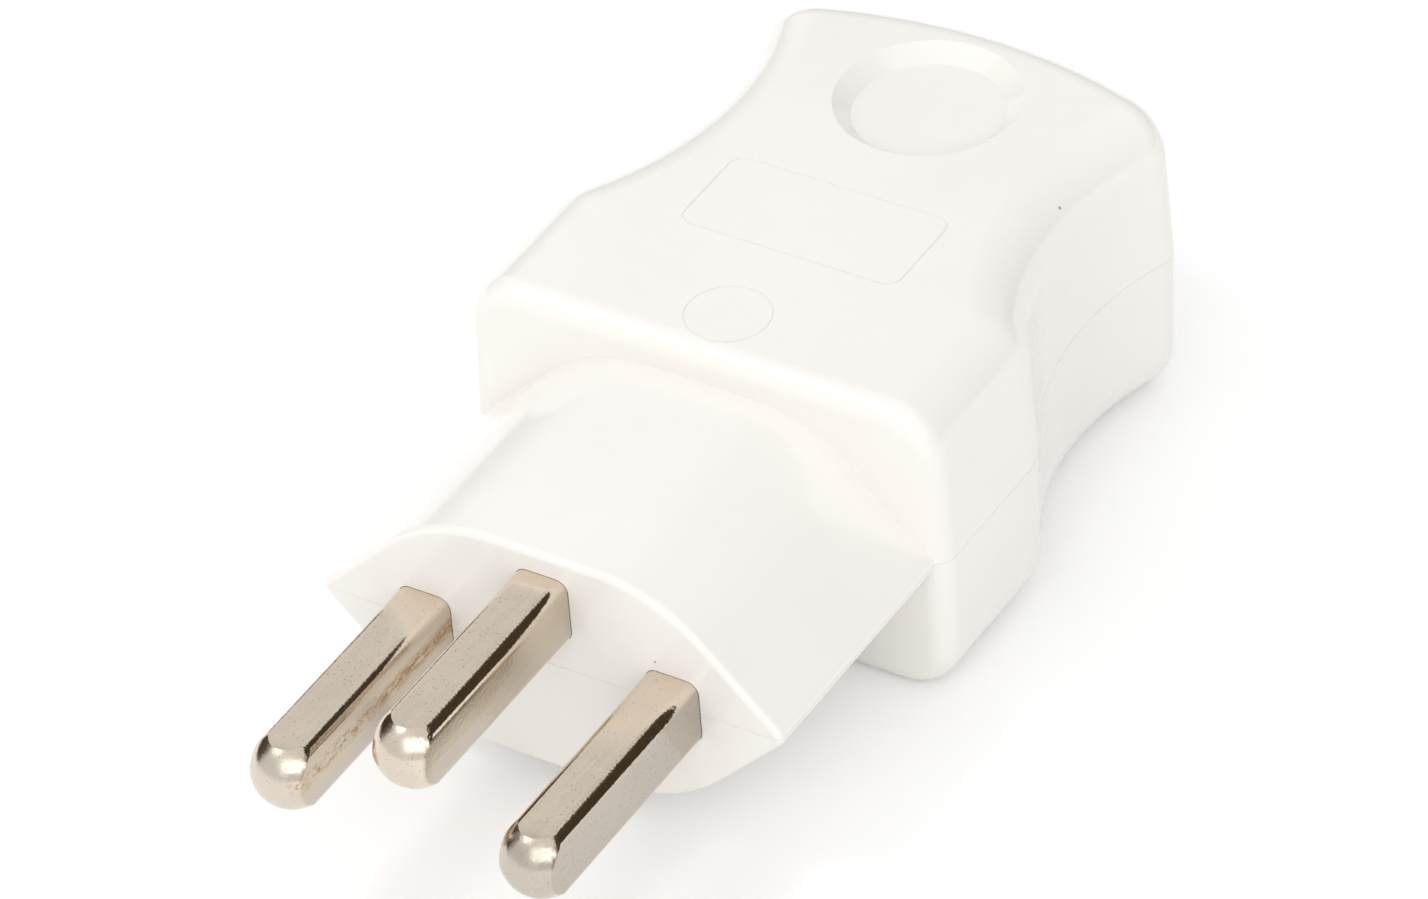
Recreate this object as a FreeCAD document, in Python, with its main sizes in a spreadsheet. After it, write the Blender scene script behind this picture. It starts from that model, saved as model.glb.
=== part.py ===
import FreeCAD, Part
import os
import Sketcher

# A rewirable type J plug with rectangular pins, in millimetres.
# The origin is the middle of the mating face, halfway between the current pins.
# The pins point to -Y, the cord leaves to +Y, and the marked side looks up to +Z.

Vector = FreeCAD.Vector
TOUCH = 1e-3
doc = FreeCAD.newDocument("type_j_plug")

SIZES = {
    # Pins: milled from flat brass bar, all three with the same section
    "pin_width": 4.0,
    "pin_height": 5.0,
    "pin_reach": 19.0,
    "pin_spacing": 19.0,
    "earth_rise": 5.0,
    "earth_reach": 18.3,
    "pin_edge": 0.9,
    "pin_play": 0.03,
    "terminal_width": 6.8,
    "terminal_length": 10.0,
    "terminal_screw_place": 6.0,
    "wire_hole": 3.0,
    "wire_hole_depth": 8.0,
    "earth_setback": 8.0,
    # Nose: the hexagonal part that enters the socket
    "nose_width": 35.9,
    "nose_height": 18.4,
    "nose_length": 19.7,
    "nose_corner": 12.0,
    "nose_ridge": 0.9,
    "nose_edge": 0.5,
    "nose_wall": 1.6,
    "front_wall": 3.0,
    "coring": 3.5,
    "rib": 2.5,
    "partition": 1.2,
    # Body: the grip behind the shoulder
    "body_width": 36.8,
    "body_height": 23.6,
    "body_length": 40.6,
    "draft": 1.6,
    "waist_width": 28.2,
    "waist_radius": 24.0,
    "waist_blend": 5.0,
    "rear_width": 33.0,
    "rear_bow": 3.54,
    "side_round": 3.8,
    "shoulder_round": 1.5,
    "rear_round": 2.2,
    "side_wall": 2.0,
    "shoulder_wall": 2.0,
    "rear_wall": 6.0,
    "roof": 2.6,
    "post_root": 0.65,
    "seam_chamfer": 0.04,
    # Cord entry and cord clamp
    "cord_bore": 10.5,
    "cord_lip": 1.0,
    "clamp_setback": 7.1,
    "clamp_length": 6.0,
    "clamp_thickness": 2.2,
    "clamp_grip": 8.6,
    "clamp_drop": 1.0,
    "clamp_post": 5.2,
    "clamp_post_spacing": 17.4,
    # Screws: every one is driven from the underside
    "screw_play": 0.05,
    "pilot_room": 0.5,
    "terminal_screw": 3.0,
    "terminal_screw_length": 2.0,
    "terminal_head": 3.8,
    "terminal_head_height": 1.5,
    "clamp_screw": 2.9,
    "clamp_screw_length": 9.5,
    "clamp_head": 5.0,
    "clamp_head_height": 1.9,
    "housing_screw": 3.0,
    "housing_screw_length": 13.0,
    "housing_head": 5.6,
    "housing_head_height": 2.2,
    "housing_head_depth": 5.0,
    "housing_head_room": 0.4,
    "housing_post": 7.0,
    "housing_post_spacing": 25.6,
    "housing_post_place": 8.4,
    "screw_slot": 0.8,
    # Locating pegs between the shells
    "peg": 2.4,
    "peg_height": 1.8,
    "peg_spacing": 19.6,
    "peg_setback": 4.0,
    # Marks in the upper face
    "dish_rim": 13.2,
    "dish_floor": 10.7,
    "dish_depth": 1.13,
    "dish_setback": 9.4,
    "field_width": 17.0,
    "field_length": 8.1,
    "field_corner": 1.2,
    "field_place": 15.9,
    "spot": 6.1,
    "spot_place": 4.6,
    "mark_width": 0.14,
    "mark_depth": 0.05,
}

sheet = doc.addObject("Spreadsheet::Sheet", "sizes")
for row, (alias, size) in enumerate(SIZES.items(), start=1):
    sheet.set(f"A{row}", alias)
    sheet.set(f"B{row}", str(size))
    sheet.setAlias(f"B{row}", alias)
doc.recompute()

# Places and shared sizes that follow from the driving dimensions
HALF_PIN = "sizes.pin_width / 2"
PIN_X = "sizes.pin_spacing / 2"
SHOULDER = "sizes.nose_length"
REAR = "(sizes.nose_length + sizes.body_length)"
HALF_HEIGHT = "(sizes.body_height / 2)"
CEILING = "(sizes.body_height / 2 - sizes.roof)"
RIB_BACK = "(sizes.front_wall + sizes.coring + sizes.rib)"
TERMINAL_END = f"({RIB_BACK} + sizes.terminal_length)"
EARTH_STOP = f"({RIB_BACK} + sizes.earth_setback)"
CHAMBER_FRONT = "(sizes.nose_length + sizes.shoulder_wall)"
CHAMBER_REAR = "(sizes.nose_length + sizes.body_length - sizes.rear_wall)"
SIDE = "(sizes.body_width / 2)"
REAR_X = "(sizes.rear_width / 2)"
REAR_Y = f"({REAR} - sizes.rear_bow)"
REAR_RADIUS = f"(({REAR_X} ^ 2 + sizes.rear_bow ^ 2) / (2 * sizes.rear_bow))"
WAIST_X = "(sizes.waist_width / 2 + sizes.waist_radius)"
WAIST_Y = f"({REAR_Y} - sqrt(sizes.waist_radius ^ 2 - ({WAIST_X} - {REAR_X}) ^ 2))"
WAIST_START = f"({WAIST_Y} - sqrt(sizes.waist_radius ^ 2 - ({WAIST_X} - {SIDE}) ^ 2))"
CLAMP_Y = f"({CHAMBER_REAR} - sizes.clamp_setback)"
POST_Y = "(sizes.nose_length + sizes.housing_post_place)"
PEG_Y = f"({REAR} - sizes.peg_setback)"
POST_TOP = f"({CEILING} + sizes.post_root)"
SLOT_CORNER = "(sizes.pin_edge + sizes.pin_play)"
HOUSING_BITE = f"(sizes.housing_screw_length + sizes.housing_head_depth - {HALF_HEIGHT})"


def number(expression):
    result = sheet.evalExpression(expression.replace("sizes.", ""))
    return float(getattr(result, "Value", result))


def origin_plane(body, role):
    return next(item for item in body.Origin.OriginFeatures if item.Role == role)


def new_body(label):
    body = doc.addObject("PartDesign::Body", label)
    body.Label = label
    return body


def new_sketch(body, name, role, height="0"):
    """A sketch on an origin plane of the body, raised along the plane's normal."""
    sketch = body.newObject("Sketcher::SketchObject", name)
    sketch.AttachmentSupport = [(origin_plane(body, role), "")]
    sketch.MapMode = "FlatFace"
    sketch.setExpression("AttachmentOffset.Base.z", height)
    return sketch


def pin_point(sketch, geometry, position, x, y):
    """Hold a point of the sketch at (x, y), both given as expressions."""
    for kind, expression in (("DistanceX", x), ("DistanceY", y)):
        constraint = Sketcher.Constraint(kind, -1, 1, geometry, position, number(expression))
        index = sketch.addConstraint(constraint)
        sketch.setExpression(f"Constraints[{index}]", expression)


def arc_between(start, end, radius):
    """An arc from start to end; a positive radius bulges to the right of the way."""
    chord = end - start
    half = chord.Length / 2
    right = Vector(chord.y, -chord.x, 0).normalize()
    rise = abs(radius) - (radius * radius - half * half) ** 0.5
    side = 1 if radius > 0 else -1
    return Part.Arc(start, (start + end) / 2 + right * (side * rise), end)


def add_loop(sketch, corners, arcs=None):
    """Close a loop through corners, given as pairs of expressions.

    arcs gives the radius of each side that is round, by the side's number: an
    expression, and True where the arc bulges to the right of the way round.
    """
    arcs = arcs or {}
    points = [Vector(number(x), number(y), 0) for x, y in corners]
    ends = []
    for side, start in enumerate(points):
        end = points[(side + 1) % len(points)]
        if side in arcs:
            radius, to_right = arcs[side]
            shape = arc_between(start, end, number(radius) if to_right else -number(radius))
        else:
            shape = Part.LineSegment(start, end)
        geometry = sketch.addGeometry(shape, False)
        forward = sketch.getPoint(geometry, 1).distanceToPoint(start) < 1e-6
        ends.append((geometry, 1, 2) if forward else (geometry, 2, 1))
    for side, (geometry, first, last) in enumerate(ends):
        following, next_first, _ = ends[(side + 1) % len(ends)]
        sketch.addConstraint(Sketcher.Constraint("Coincident", geometry, last, following, next_first))
        pin_point(sketch, geometry, first, *corners[side])
        if side in arcs:
            radius = arcs[side][0]
            index = sketch.addConstraint(Sketcher.Constraint("Radius", geometry, number(radius)))
            sketch.setExpression(f"Constraints[{index}]", radius)


def add_box(sketch, left, right, low, high):
    add_loop(sketch, [(left, low), (right, low), (right, high), (left, high)])


def add_rounded_box(sketch, left, right, low, high, corner, square_base=False):
    """A box with round corners; a square base keeps its two low corners sharp."""
    top = [
        (right, f"{high} - {corner}"),
        (f"{right} - {corner}", high),
        (f"{left} + {corner}", high),
        (left, f"{high} - {corner}"),
    ]
    if square_base:
        add_loop(sketch, [(left, low), (right, low), *top], {2: (corner, True), 4: (corner, True)})
        return
    base = [
        (left, f"{low} + {corner}"),
        (f"{left} + {corner}", low),
        (f"{right} - {corner}", low),
        (right, f"{low} + {corner}"),
    ]
    add_loop(sketch, [*base, *top], {side: (corner, True) for side in (0, 2, 4, 6)})


def add_circle(sketch, x, y, diameter):
    centre = Vector(number(x), number(y), 0)
    geometry = sketch.addGeometry(Part.Circle(centre, Vector(0, 0, 1), number(diameter) / 2), False)
    pin_point(sketch, geometry, 3, x, y)
    index = sketch.addConstraint(Sketcher.Constraint("Diameter", geometry, number(diameter)))
    sketch.setExpression(f"Constraints[{index}]", diameter)


def volume(body):
    return body.Shape.Volume if body.Tip else 0.0


def finish_feature(body, feature, before, sign):
    """Rebuild, and see that the feature added or took away material."""
    doc.recompute()
    if feature.State and ("Invalid" in feature.State or "Error" in feature.State):
        raise RuntimeError(f"{feature.Label} failed: {feature.getStatusString()}")
    if sign * (volume(body) - before) <= 0:
        raise RuntimeError(f"{feature.Label} changed nothing")
    return feature


def add_extrusion(body, kind, sketch, length, reverse, both_ways=False):
    before = volume(body)
    feature = body.newObject(f"PartDesign::{kind}", f"{sketch.Name}_{kind.lower()}")
    feature.Profile = sketch
    feature.setExpression("Length", length)
    feature.Reversed = reverse
    if both_ways:
        feature.SideType = "Symmetric"
    return finish_feature(body, feature, before, 1 if kind == "Pad" else -1)


def pad(body, sketch, length, reverse=False, both_ways=False):
    return add_extrusion(body, "Pad", sketch, length, reverse, both_ways)


def pocket(body, sketch, length, reverse=False, both_ways=False):
    return add_extrusion(body, "Pocket", sketch, length, reverse, both_ways)


def revolve(body, kind, sketch, axis):
    before = volume(body)
    feature = body.newObject(f"PartDesign::{kind}", f"{sketch.Name}_{kind.lower()}")
    feature.Profile = sketch
    feature.ReferenceAxis = (sketch, [axis])
    feature.Angle = 360
    return finish_feature(body, feature, before, 1 if kind == "Revolution" else -1)


def edges_where(shape, test):
    return [f"Edge{count}" for count, edge in enumerate(shape.Edges, start=1) if test(edge)]


def soften(body, kind, name, test, size):
    """Fillet or chamfer the edges of the body that pass the test."""
    base = body.Tip
    before = volume(body)
    feature = body.newObject(f"PartDesign::{kind}", name)
    feature.Base = (base, edges_where(base.Shape, test))
    feature.setExpression("Radius" if kind == "Fillet" else "Size", size)
    doc.recompute()
    if abs(volume(body) - before) < 1e-9:
        raise RuntimeError(f"{name} changed nothing")
    return feature


def middle(edge):
    return edge.valueAt((edge.FirstParameter + edge.LastParameter) / 2)


def around_end(body, pick):
    """A test for the edges of the foremost or rearmost face, save those on the parting plane."""
    end = pick(body.Tip.Shape.Faces, key=lambda face: face.CenterOfMass.y)
    return lambda edge: edge.BoundBox.ZMax > TOUCH and any(edge.isSame(other) for other in end.Edges)


def half_hexagon(sketch, inset, ridge):
    """Half of the nose's section above the parting plane, drawn inset from its outside.

    The flanks stand at 45 degrees, so a step inwards moves them by sqrt(2) along X.
    ridge is the rounding at the sides, or None where the flank runs to a point.
    """
    reach = f"(sizes.nose_width / 2 - ({inset}) * sqrt(2))"
    top = f"(sizes.nose_height / 2 - ({inset}))"
    corner = f"(sizes.nose_corner - ({inset}))"
    corner_x = f"({reach} - {top})"
    tangent = f"({corner} * (sqrt(2) - 1))"
    flat_end = f"({corner_x} - {tangent})"
    flank_top_x = f"({corner_x} + {tangent} / sqrt(2))"
    flank_top_z = f"({top} - {tangent} / sqrt(2))"
    right = [(flank_top_x, flank_top_z), (flat_end, top)]
    left = [(f"-{flat_end}", top), (f"-{flank_top_x}", flank_top_z)]
    if ridge is None:
        corners = [(f"-{reach}", "0"), (reach, "0"), *right, *left]
        arcs = {2: (corner, True), 4: (corner, True)}
    else:
        tip = f"({reach} - {ridge} * (sqrt(2) - 1))"
        flank_x = f"({reach} - {ridge} / sqrt(2))"
        flank_z = f"({ridge} / sqrt(2))"
        corners = [(f"-{tip}", "0"), (tip, "0"), (flank_x, flank_z), *right]
        corners += [*left, (f"-{flank_x}", flank_z)]
        arcs = {1: (ridge, True), 3: (corner, True), 5: (corner, True), 7: (ridge, True)}
    add_loop(sketch, corners, arcs)


def body_outline(sketch):
    """The grip seen from above: straight sides, hollow waist, gently bowed rear."""
    corners = [
        (f"-{SIDE}", SHOULDER),
        (SIDE, SHOULDER),
        (SIDE, WAIST_START),
        (REAR_X, REAR_Y),
        (f"-{REAR_X}", REAR_Y),
        (f"-{SIDE}", WAIST_START),
    ]
    arcs = {2: ("sizes.waist_radius", False), 3: (REAR_RADIUS, True), 4: ("sizes.waist_radius", False)}
    add_loop(sketch, corners, arcs)


def draft_walls(body):
    """Lean every wall of the grip inwards from the parting plane, for release from the mould."""
    lean = f"({HALF_HEIGHT} * tan(sizes.draft))"

    def wedge(wall, inwards):
        outside = f"{wall} - {inwards} * {lean}"
        inside = f"{wall} + {inwards} * {lean}"
        return [(wall, "0"), (outside, "0"), (outside, HALF_HEIGHT), (inside, HALF_HEIGHT)]

    sides = new_sketch(body, "side_draft", "XZ_Plane", f"-{SHOULDER}")
    add_loop(sides, wedge(SIDE, -1))
    add_loop(sides, wedge(f"-{SIDE}", 1))
    pocket(body, sides, "sizes.body_length")
    front = new_sketch(body, "shoulder_draft", "YZ_Plane")
    add_loop(front, wedge(SHOULDER, 1))
    pocket(body, front, "2 * sizes.body_width", both_ways=True)
    rear = new_sketch(body, "rear_draft", "XZ_Plane", f"-({REAR} - {REAR_RADIUS})")
    add_loop(rear, wedge(REAR_RADIUS, -1))
    revolve(body, "Groove", rear, "V_Axis")
    for sign, name in ((1, "right"), (-1, "left")):
        waist = new_sketch(body, f"{name}_waist_draft", "XZ_Plane", f"-{WAIST_Y}")
        waist.setExpression("AttachmentOffset.Base.x", f"{sign} * {WAIST_X}")
        add_loop(waist, wedge(f"{sign} * sizes.waist_radius", sign))
        revolve(body, "Groove", waist, "V_Axis")


def chamber_outline(sketch):
    """The wiring chamber seen from above, a wall's thickness inside the grip."""
    side = "(sizes.body_width / 2 - sizes.side_wall)"
    radius = "(sizes.waist_radius + sizes.side_wall)"
    waist_start = f"({WAIST_Y} - sqrt({radius} ^ 2 - ({WAIST_X} - {side}) ^ 2))"
    rear_x = f"({WAIST_X} - sqrt({radius} ^ 2 - ({CHAMBER_REAR} - {WAIST_Y}) ^ 2))"
    corners = [
        (f"-{side}", CHAMBER_FRONT),
        (side, CHAMBER_FRONT),
        (side, waist_start),
        (rear_x, CHAMBER_REAR),
        (f"-{rear_x}", CHAMBER_REAR),
        (f"-{side}", waist_start),
    ]
    add_loop(sketch, corners, {2: (radius, False), 4: (radius, False)})


def shell_outside(body):
    """The outer form of one half, standing on the parting plane with its face up."""
    grip = new_sketch(body, "grip", "XY_Plane")
    body_outline(grip)
    pad(body, grip, HALF_HEIGHT)
    draft_walls(body)

    high = number(HALF_HEIGHT)
    straight_start = number(CHAMBER_FRONT)
    waist_y = number(WAIST_Y)

    def at_waist_start(edge):
        upright = edge.BoundBox.ZLength > high / 2
        return upright and straight_start < middle(edge).y < waist_y

    def along_side(edge):
        at_top = edge.BoundBox.ZMin > high - TOUCH
        return at_top and abs(middle(edge).x) > TOUCH

    soften(body, "Fillet", "waist_blend", at_waist_start, "sizes.waist_blend")
    soften(body, "Fillet", "side_round", along_side, "sizes.side_round")
    soften(body, "Fillet", "shoulder_round", around_end(body, min), "sizes.shoulder_round")
    soften(body, "Fillet", "rear_round", around_end(body, max), "sizes.rear_round")

    nose = new_sketch(body, "nose", "XZ_Plane")
    half_hexagon(nose, "0", "sizes.nose_ridge")
    pad(body, nose, f"{SHOULDER} + sizes.shoulder_wall / 2", reverse=True)
    soften(body, "Fillet", "nose_edge", around_end(body, min), "sizes.nose_edge")


def seam_chamfer(body):
    """Break the outer edge of the parting face, which leaves a fine line at the seam."""
    seam = max(
        (face for face in body.Tip.Shape.Faces if face.BoundBox.ZMax < TOUCH),
        key=lambda face: face.Area,
    )
    rim = seam.OuterWire
    soften(
        body,
        "Chamfer",
        "seam_chamfer",
        lambda edge: any(edge.isSame(other) for other in rim.Edges),
        "sizes.seam_chamfer",
    )


def shell_inside(body):
    """The chambers that both halves share, cut from the parting plane."""
    coring = new_sketch(body, "coring", "XZ_Plane", "-sizes.front_wall")
    half_hexagon(coring, "sizes.nose_wall", None)
    pocket(body, coring, "sizes.coring")

    bays = new_sketch(body, "terminal_bays", "XZ_Plane", f"-{RIB_BACK}")
    inner = f"({PIN_X} - sizes.terminal_width / 2 - sizes.pin_play)"
    reach = "(sizes.nose_width / 2 - sizes.nose_wall * sqrt(2))"
    bay_top = "(sizes.nose_height / 2 - sizes.nose_wall - sizes.partition)"
    for sign in ("", "-"):
        corners = [
            (f"{sign}{inner}", "0"),
            (f"{sign}{reach}", "0"),
            (f"{sign}({reach} - {bay_top})", bay_top),
            (f"{sign}{inner}", bay_top),
        ]
        add_loop(bays, corners)
    pocket(body, bays, "sizes.terminal_length + sizes.pin_play")

    wire_half = "(sizes.wire_hole / 2 + sizes.pin_play)"
    notches = new_sketch(body, "wire_notches", "XZ_Plane", f"-{TERMINAL_END}")
    for sign in (1, -1):
        place = f"{sign} * {PIN_X}"
        add_box(notches, f"{place} - {wire_half}", f"{place} + {wire_half}", "0", wire_half)
    pocket(body, notches, f"{CHAMBER_FRONT} - {TERMINAL_END} + sizes.rib")

    half_bay = f"({inner} - sizes.partition)"
    bay_roof = "(sizes.earth_rise + sizes.pin_height / 2 + sizes.pin_play)"
    front_bay = new_sketch(body, "front_bay", "XZ_Plane", f"-{RIB_BACK}")
    add_box(front_bay, f"-{half_bay}", half_bay, "0", bay_roof)
    pocket(body, front_bay, "sizes.earth_setback - sizes.rib")
    rear_bay = new_sketch(body, "rear_bay", "XZ_Plane", f"-{EARTH_STOP}")
    add_box(rear_bay, f"-{half_bay}", half_bay, "0", bay_roof)
    pocket(body, rear_bay, f"{CHAMBER_FRONT} - {EARTH_STOP} + sizes.rib")

    slots = new_sketch(body, "pin_slots", "XZ_Plane")
    slot_half = f"({HALF_PIN} + sizes.pin_play)"
    slot_top = "(sizes.pin_height / 2 + sizes.pin_play)"
    for sign in (1, -1):
        place = f"{sign} * {PIN_X}"
        left = f"{place} - {slot_half}"
        right = f"{place} + {slot_half}"
        add_rounded_box(slots, left, right, "0", slot_top, SLOT_CORNER, square_base=True)
    pocket(body, slots, RIB_BACK)

    chamber = new_sketch(body, "chamber", "XY_Plane")
    chamber_outline(chamber)
    pocket(body, chamber, CEILING, reverse=True)

    posts = new_sketch(body, "housing_posts", "XY_Plane")
    for sign in (1, -1):
        add_circle(posts, f"{sign} * sizes.housing_post_spacing / 2", POST_Y, "sizes.housing_post")
    pad(body, posts, POST_TOP)

    cord_way = new_sketch(body, "cord_way", "XZ_Plane", f"-({CHAMBER_REAR} - sizes.rib)")
    add_circle(cord_way, "0", "0", "sizes.cord_bore")
    pocket(body, cord_way, "sizes.rear_wall + 2 * sizes.rib")
    lip = new_sketch(body, "cord_lip", "XY_Plane")
    narrow = "sizes.cord_bore / 2 - sizes.cord_lip"
    wide = "sizes.cord_bore / 2 + 2 * sizes.cord_lip"
    outside = f"{REAR} + sizes.cord_lip"
    add_loop(lip, [(narrow, f"{REAR} - 2 * sizes.cord_lip"), (wide, outside), (narrow, outside)])
    revolve(body, "Groove", lip, "V_Axis")


def upper_details(body):
    """What only the marked half has: earth pin slot, cord saddle, blind holes and marks."""
    slot = new_sketch(body, "earth_slot", "XZ_Plane")
    half = f"({HALF_PIN} + sizes.pin_play)"
    low = "(sizes.earth_rise - sizes.pin_height / 2 - sizes.pin_play)"
    high = "(sizes.earth_rise + sizes.pin_height / 2 + sizes.pin_play)"
    add_rounded_box(slot, f"-{half}", half, low, high, SLOT_CORNER)
    pocket(body, slot, EARTH_STOP)

    earth_end = f"({EARTH_STOP} + sizes.terminal_length + sizes.pin_play)"
    catch_low = "(sizes.earth_rise + sizes.wire_hole / 2 + sizes.pin_play)"
    catch = new_sketch(body, "earth_catch", "XY_Plane", catch_low)
    add_box(
        catch,
        "-sizes.terminal_width / 2",
        "sizes.terminal_width / 2",
        earth_end,
        f"{earth_end} + sizes.rib",
    )
    pad(body, catch, f"{POST_TOP} - {catch_low}")

    saddle_half = "sizes.clamp_post_spacing / 2"
    saddle = new_sketch(body, "cord_saddle", "XZ_Plane", f"-{CLAMP_Y}")
    add_box(saddle, f"-{saddle_half}", saddle_half, "0", POST_TOP)
    pad(body, saddle, "sizes.clamp_length", both_ways=True)
    cradle = new_sketch(body, "cord_cradle", "XZ_Plane", f"-{CLAMP_Y}")
    add_circle(cradle, "0", "0", "sizes.clamp_grip")
    pocket(body, cradle, "sizes.clamp_length", both_ways=True)

    clamp_posts = new_sketch(body, "clamp_posts", "XY_Plane", "-sizes.clamp_drop")
    for sign in (1, -1):
        add_circle(clamp_posts, f"{sign} * sizes.clamp_post_spacing / 2", CLAMP_Y, "sizes.clamp_post")
    pad(body, clamp_posts, f"{POST_TOP} + sizes.clamp_drop")

    clamp_hole = "(sizes.clamp_screw + 2 * sizes.screw_play)"
    clamp_holes = new_sketch(body, "clamp_pilot_holes", "XY_Plane", "-sizes.clamp_drop")
    for sign in (1, -1):
        add_circle(clamp_holes, f"{sign} * sizes.clamp_post_spacing / 2", CLAMP_Y, clamp_hole)
    clamp_bite = "sizes.clamp_screw_length - sizes.clamp_thickness"
    pocket(body, clamp_holes, f"{clamp_bite} + sizes.pilot_room", reverse=True)

    housing_hole = "(sizes.housing_screw + 2 * sizes.screw_play)"
    housing_holes = new_sketch(body, "housing_pilot_holes", "XY_Plane")
    for sign in (1, -1):
        add_circle(housing_holes, f"{sign} * sizes.housing_post_spacing / 2", POST_Y, housing_hole)
    pocket(body, housing_holes, f"{HOUSING_BITE} + sizes.pilot_room", reverse=True)

    peg_holes = new_sketch(body, "peg_holes", "XY_Plane")
    for sign in (1, -1):
        add_circle(peg_holes, f"{sign} * sizes.peg_spacing / 2", PEG_Y, "sizes.peg + 2 * sizes.pin_play")
    pocket(body, peg_holes, "sizes.peg_height + sizes.screw_play", reverse=True)

    dish = new_sketch(body, "dish", "YZ_Plane")
    dish.setExpression("AttachmentOffset.Base.x", f"{REAR} - sizes.dish_setback")
    slope = "((sizes.dish_rim - sizes.dish_floor) / 2)"
    outer = f"(sizes.dish_rim / 2 + {slope})"
    floor = f"({HALF_HEIGHT} - sizes.dish_depth)"
    above = f"({HALF_HEIGHT} + sizes.dish_depth)"
    add_loop(dish, [("0", floor), ("sizes.dish_floor / 2", floor), (outer, above), ("0", above)])
    revolve(body, "Groove", dish, "V_Axis")

    field = new_sketch(body, "field", "XY_Plane", HALF_HEIGHT)
    field_y = f"({SHOULDER} + sizes.field_place)"
    for inset in ("0", "sizes.mark_width"):
        half_width = f"(sizes.field_width / 2 - {inset})"
        half_length = f"(sizes.field_length / 2 - {inset})"
        low = f"{field_y} - {half_length}"
        high = f"{field_y} + {half_length}"
        add_rounded_box(field, f"-{half_width}", half_width, low, high, f"(sizes.field_corner - {inset})")
    pocket(body, field, "sizes.mark_depth")
    spot = new_sketch(body, "spot", "XY_Plane", HALF_HEIGHT)
    for diameter in ("sizes.spot", "sizes.spot - 2 * sizes.mark_width"):
        add_circle(spot, "0", f"{SHOULDER} + sizes.spot_place", diameter)
    pocket(body, spot, "sizes.mark_depth")


def lower_details(body):
    """What only the cover half has: screw holes with deep seats for the heads, and pegs."""
    hole = "(sizes.housing_screw + 2 * sizes.screw_play)"
    holes = new_sketch(body, "housing_screw_holes", "XY_Plane")
    for sign in (1, -1):
        add_circle(holes, f"{sign} * sizes.housing_post_spacing / 2", POST_Y, hole)
    pocket(body, holes, HALF_HEIGHT, reverse=True)
    seats = new_sketch(body, "housing_head_seats", "XY_Plane", HALF_HEIGHT)
    for sign in (1, -1):
        add_circle(
            seats,
            f"{sign} * sizes.housing_post_spacing / 2",
            POST_Y,
            "sizes.housing_head + 2 * sizes.housing_head_room",
        )
    pocket(body, seats, "sizes.housing_head_depth")
    pegs = new_sketch(body, "pegs", "XY_Plane")
    for sign in (1, -1):
        add_circle(pegs, f"{sign} * sizes.peg_spacing / 2", PEG_Y, "sizes.peg")
    pad(body, pegs, "sizes.peg_height", reverse=True)


def make_shell(label, details):
    body = new_body(label)
    shell_outside(body)
    seam_chamfer(body)
    shell_inside(body)
    details(body)
    return body


def make_pin(label, pin_reach, setback):
    """A pin along Y: flat bar with a domed tip, and a wider terminal block at its root."""
    body = new_body(label)
    half_block = "sizes.terminal_width / 2"
    block_front = f"({RIB_BACK} + {setback})"
    block_end = f"({block_front} + sizes.terminal_length)"
    bar = new_sketch(body, f"{label}_bar", "XY_Plane")
    add_loop(
        bar,
        [
            (f"-{HALF_PIN}", f"-{pin_reach}"),
            (HALF_PIN, f"-{pin_reach}"),
            (HALF_PIN, block_front),
            (half_block, block_front),
            (half_block, block_end),
            (f"-{half_block}", block_end),
            (f"-{half_block}", block_front),
            (f"-{HALF_PIN}", block_front),
        ],
    )
    pad(body, bar, "sizes.pin_height", both_ways=True)
    bar_length = number(f"{pin_reach} + {block_front}")

    def along_bar(edge):
        return abs(edge.BoundBox.YLength - bar_length) < TOUCH

    soften(body, "Fillet", f"{label}_edges", along_bar, "sizes.pin_edge")

    side = f"({HALF_PIN} - sizes.pin_edge)"
    upright = "(sizes.pin_height / 2 - sizes.pin_edge)"
    dome = f"(sqrt({side} ^ 2 + {upright} ^ 2) + sizes.pin_edge)"
    tip = new_sketch(body, f"{label}_tip", "XY_Plane")
    beyond = f"({dome} + sizes.pin_edge)"
    corners = [
        ("0", f"-{pin_reach}"),
        ("0", f"-{pin_reach} - {dome}"),
        (beyond, f"-{pin_reach} - {dome}"),
        (beyond, f"-{pin_reach} + {dome}"),
        (dome, f"-{pin_reach} + {dome}"),
    ]
    add_loop(tip, corners, {4: (dome, False)})
    revolve(body, "Groove", tip, "V_Axis")

    wire = new_sketch(body, f"{label}_wire_hole", "XZ_Plane", f"-{block_end}")
    add_circle(wire, "0", "0", "sizes.wire_hole")
    pocket(body, wire, "sizes.wire_hole_depth", reverse=True)
    thread = new_sketch(body, f"{label}_thread", "XY_Plane", "-sizes.pin_height / 2")
    screw_y = f"({block_front} + sizes.terminal_screw_place)"
    add_circle(thread, "0", screw_y, "sizes.terminal_screw + 2 * sizes.screw_play")
    pocket(body, thread, "sizes.pin_height / 2", reverse=True)
    return body


def make_screw(label, shank, length, head, head_height):
    """A slotted screw, head down, with the underside of its head on its own XY plane."""
    body = new_body(label)
    profile = new_sketch(body, f"{label}_profile", "XZ_Plane")
    add_loop(
        profile,
        [
            ("0", f"-{head_height}"),
            (f"{head} / 2", f"-{head_height}"),
            (f"{head} / 2", "0"),
            (f"{shank} / 2", "0"),
            (f"{shank} / 2", length),
            ("0", length),
        ],
    )
    revolve(body, "Revolution", profile, "V_Axis")
    slot = new_sketch(body, f"{label}_slot", "XY_Plane", f"-{head_height}")
    half_slot = "sizes.screw_slot / 2"
    add_box(slot, f"-{head}", head, f"-{half_slot}", half_slot)
    pocket(body, slot, f"{head_height} / 2", reverse=True)
    return body


def place(obj, x, y, z):
    for axis, expression in (("x", x), ("y", y), ("z", z)):
        obj.setExpression(f"Placement.Base.{axis}", expression)


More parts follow.
